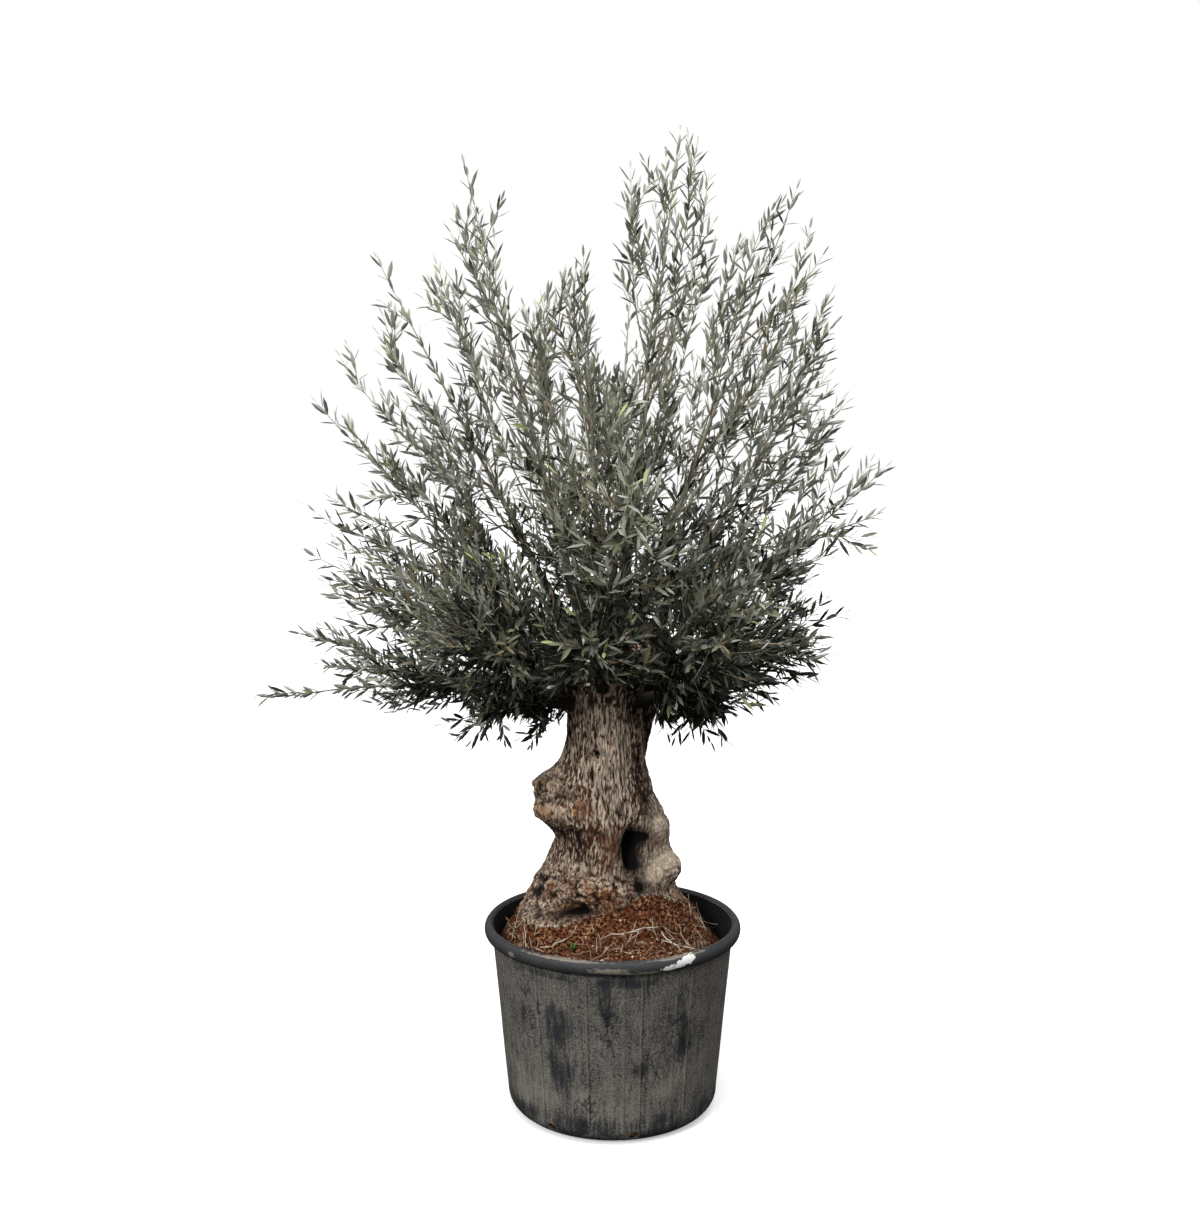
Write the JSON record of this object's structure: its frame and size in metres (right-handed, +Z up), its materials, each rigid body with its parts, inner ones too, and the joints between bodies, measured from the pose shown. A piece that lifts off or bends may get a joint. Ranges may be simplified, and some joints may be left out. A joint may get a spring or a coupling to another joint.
{
  "type": "potted olive tree",
  "caption": "Old olive tree with a thick burled trunk and an open crown of long upright leafy shoots, planted in a round black plastic nursery pot.",
  "frame": {"origin": "centre of the pot's flat underside, on the surface that the pot stands on", "axes": "+Z up, -Y towards the front that the picture shows, +X to the right seen from the front"},
  "size_m": [2.0197, 1.5794, 3.1016],
  "materials": {
    "pot_plastic": "matte",
    "soil": "matte",
    "bark": "matte",
    "young_bark": "matte",
    "foliage": "matte"
  },
  "bodies": {
    "root": {"pot": "pot_plastic", "soil": "soil", "trunk": "bark", "back_stem": "bark", "bough_left_skirt": "young_bark", "bough_left_low": "young_bark", "bough_left_mid": "young_bark", "bough_left_upper": "young_bark", "bough_left_crest": "young_bark", "bough_left_spire": "young_bark", "bough_right_spire": "young_bark", "bough_right_crest": "young_bark", "bough_right_upper": "young_bark", "bough_right_mid": "young_bark", "bough_right_low": "young_bark", "bough_right_skirt": "young_bark", "bough_front_left": "young_bark", "bough_front_low": "young_bark", "bough_front_right": "young_bark", "bough_front_mid": "young_bark", "bough_front_high": "young_bark", "bough_back_left": "young_bark", "bough_back_low": "young_bark", "bough_back_mid": "young_bark", "bough_back_high": "young_bark", "foliage_left_skirt": "foliage", "foliage_left_low": "foliage", "foliage_left_mid": "foliage", "foliage_left_upper": "foliage", "foliage_left_crest": "foliage", "foliage_left_spire": "foliage", "foliage_right_spire": "foliage", "foliage_right_crest": "foliage", "foliage_right_upper": "foliage", "foliage_right_mid": "foliage", "foliage_right_low": "foliage", "foliage_right_skirt": "foliage", "foliage_front_left": "foliage", "foliage_front_low": "foliage", "foliage_front_right": "foliage", "foliage_front_mid": "foliage", "foliage_front_high": "foliage", "foliage_back_left": "foliage", "foliage_back_low": "foliage", "foliage_back_mid": "foliage", "foliage_back_high": "foliage", "foliage_back_right": "foliage"}
  },
  "joints": []
}
